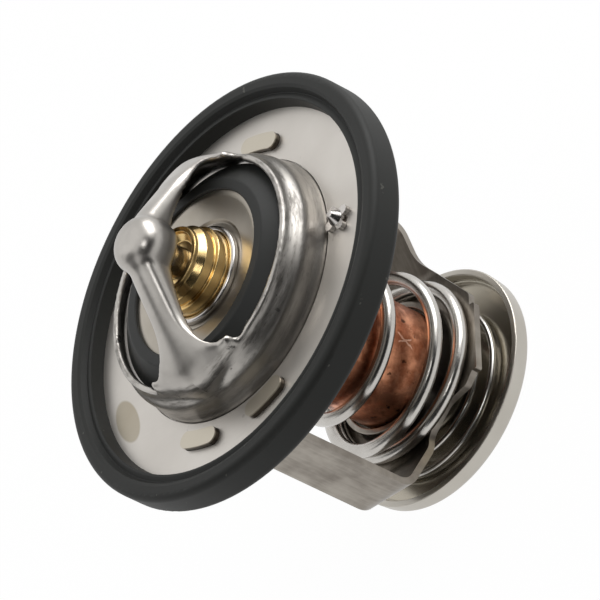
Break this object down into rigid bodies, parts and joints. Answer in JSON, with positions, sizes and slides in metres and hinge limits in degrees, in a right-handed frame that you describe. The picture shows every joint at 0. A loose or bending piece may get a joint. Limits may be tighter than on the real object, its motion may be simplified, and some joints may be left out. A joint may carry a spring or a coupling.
{
  "type": "engine thermostat",
  "caption": "Wax-element coolant valve with a sealed round flange, drawn bridge, sprung main valve, stirrup frame and bypass valve disc.",
  "frame": {"origin": "on the axis, at the underside of the bypass disc", "axes": "+Z along the valve's axis towards the nose; the bridge arms and the frame's legs lie along X"},
  "size_m": [0.06, 0.06, 0.0555],
  "materials": {
    "flange_steel": "brushed, light grey",
    "bridge_steel": "satin drawn sheet",
    "frame_steel": "satin grey-brown sheet",
    "seal_rubber": "matte moulded rubber",
    "valve_rubber": "matte moulded rubber",
    "valve_steel": "satin sheet",
    "ring_steel": "bright",
    "spring_steel": "bright drawn wire",
    "pin_steel": "ground",
    "guide_brass": "turned, bright",
    "cup_copper": "copper, oxidised, with scratches",
    "disc_steel": "bright inside, satin rim",
    "washer_polymer": "plain",
    "sleeve_rubber": "matte",
    "wax": "waxy"
  },
  "bodies": {
    "housing": {"flange_plate": "flange_steel", "flange_seal": "seal_rubber", "upper_bridge": "bridge_steel", "lower_frame": "frame_steel", "piston": "pin_steel", "main_spring": "spring_steel"},
    "element": {"brass_guide": "guide_brass", "guide_ring": "ring_steel", "valve_plate": "valve_steel", "valve_rubber": "valve_rubber", "spring_seat": "valve_steel", "wax_cup": "cup_copper", "backup_washer": "washer_polymer", "piston_sleeve": "sleeve_rubber", "wax_fill": "wax", "bypass_stem": "pin_steel", "stem_washer": "ring_steel", "bypass_clip": "ring_steel", "bypass_spring": "spring_steel"},
    "bypass_valve": {"bypass_disc": "disc_steel"},
    "vent": {"vent_pin": "pin_steel", "vent_weight": "pin_steel"}
  },
  "joints": [
    {"name": "valve_slide", "type": "slide", "parent": "housing", "child": "element", "axis": [0, 0, -1], "range_m": [0, 0.008], "stiffness_N_per_m": 4000, "springref_m": -0.01, "deforming": ["main_spring"]},
    {"name": "bypass_slide", "type": "slide", "parent": "element", "child": "bypass_valve", "axis": [0, 0, 1], "range_m": [0, 0.0022], "stiffness_N_per_m": 2000, "springref_m": -0.003, "deforming": ["bypass_spring"]},
    {"name": "vent_slide", "type": "slide", "parent": "housing", "child": "vent", "axis": [0, 0, 1], "range_m": [0, 0.0013]}
  ]
}
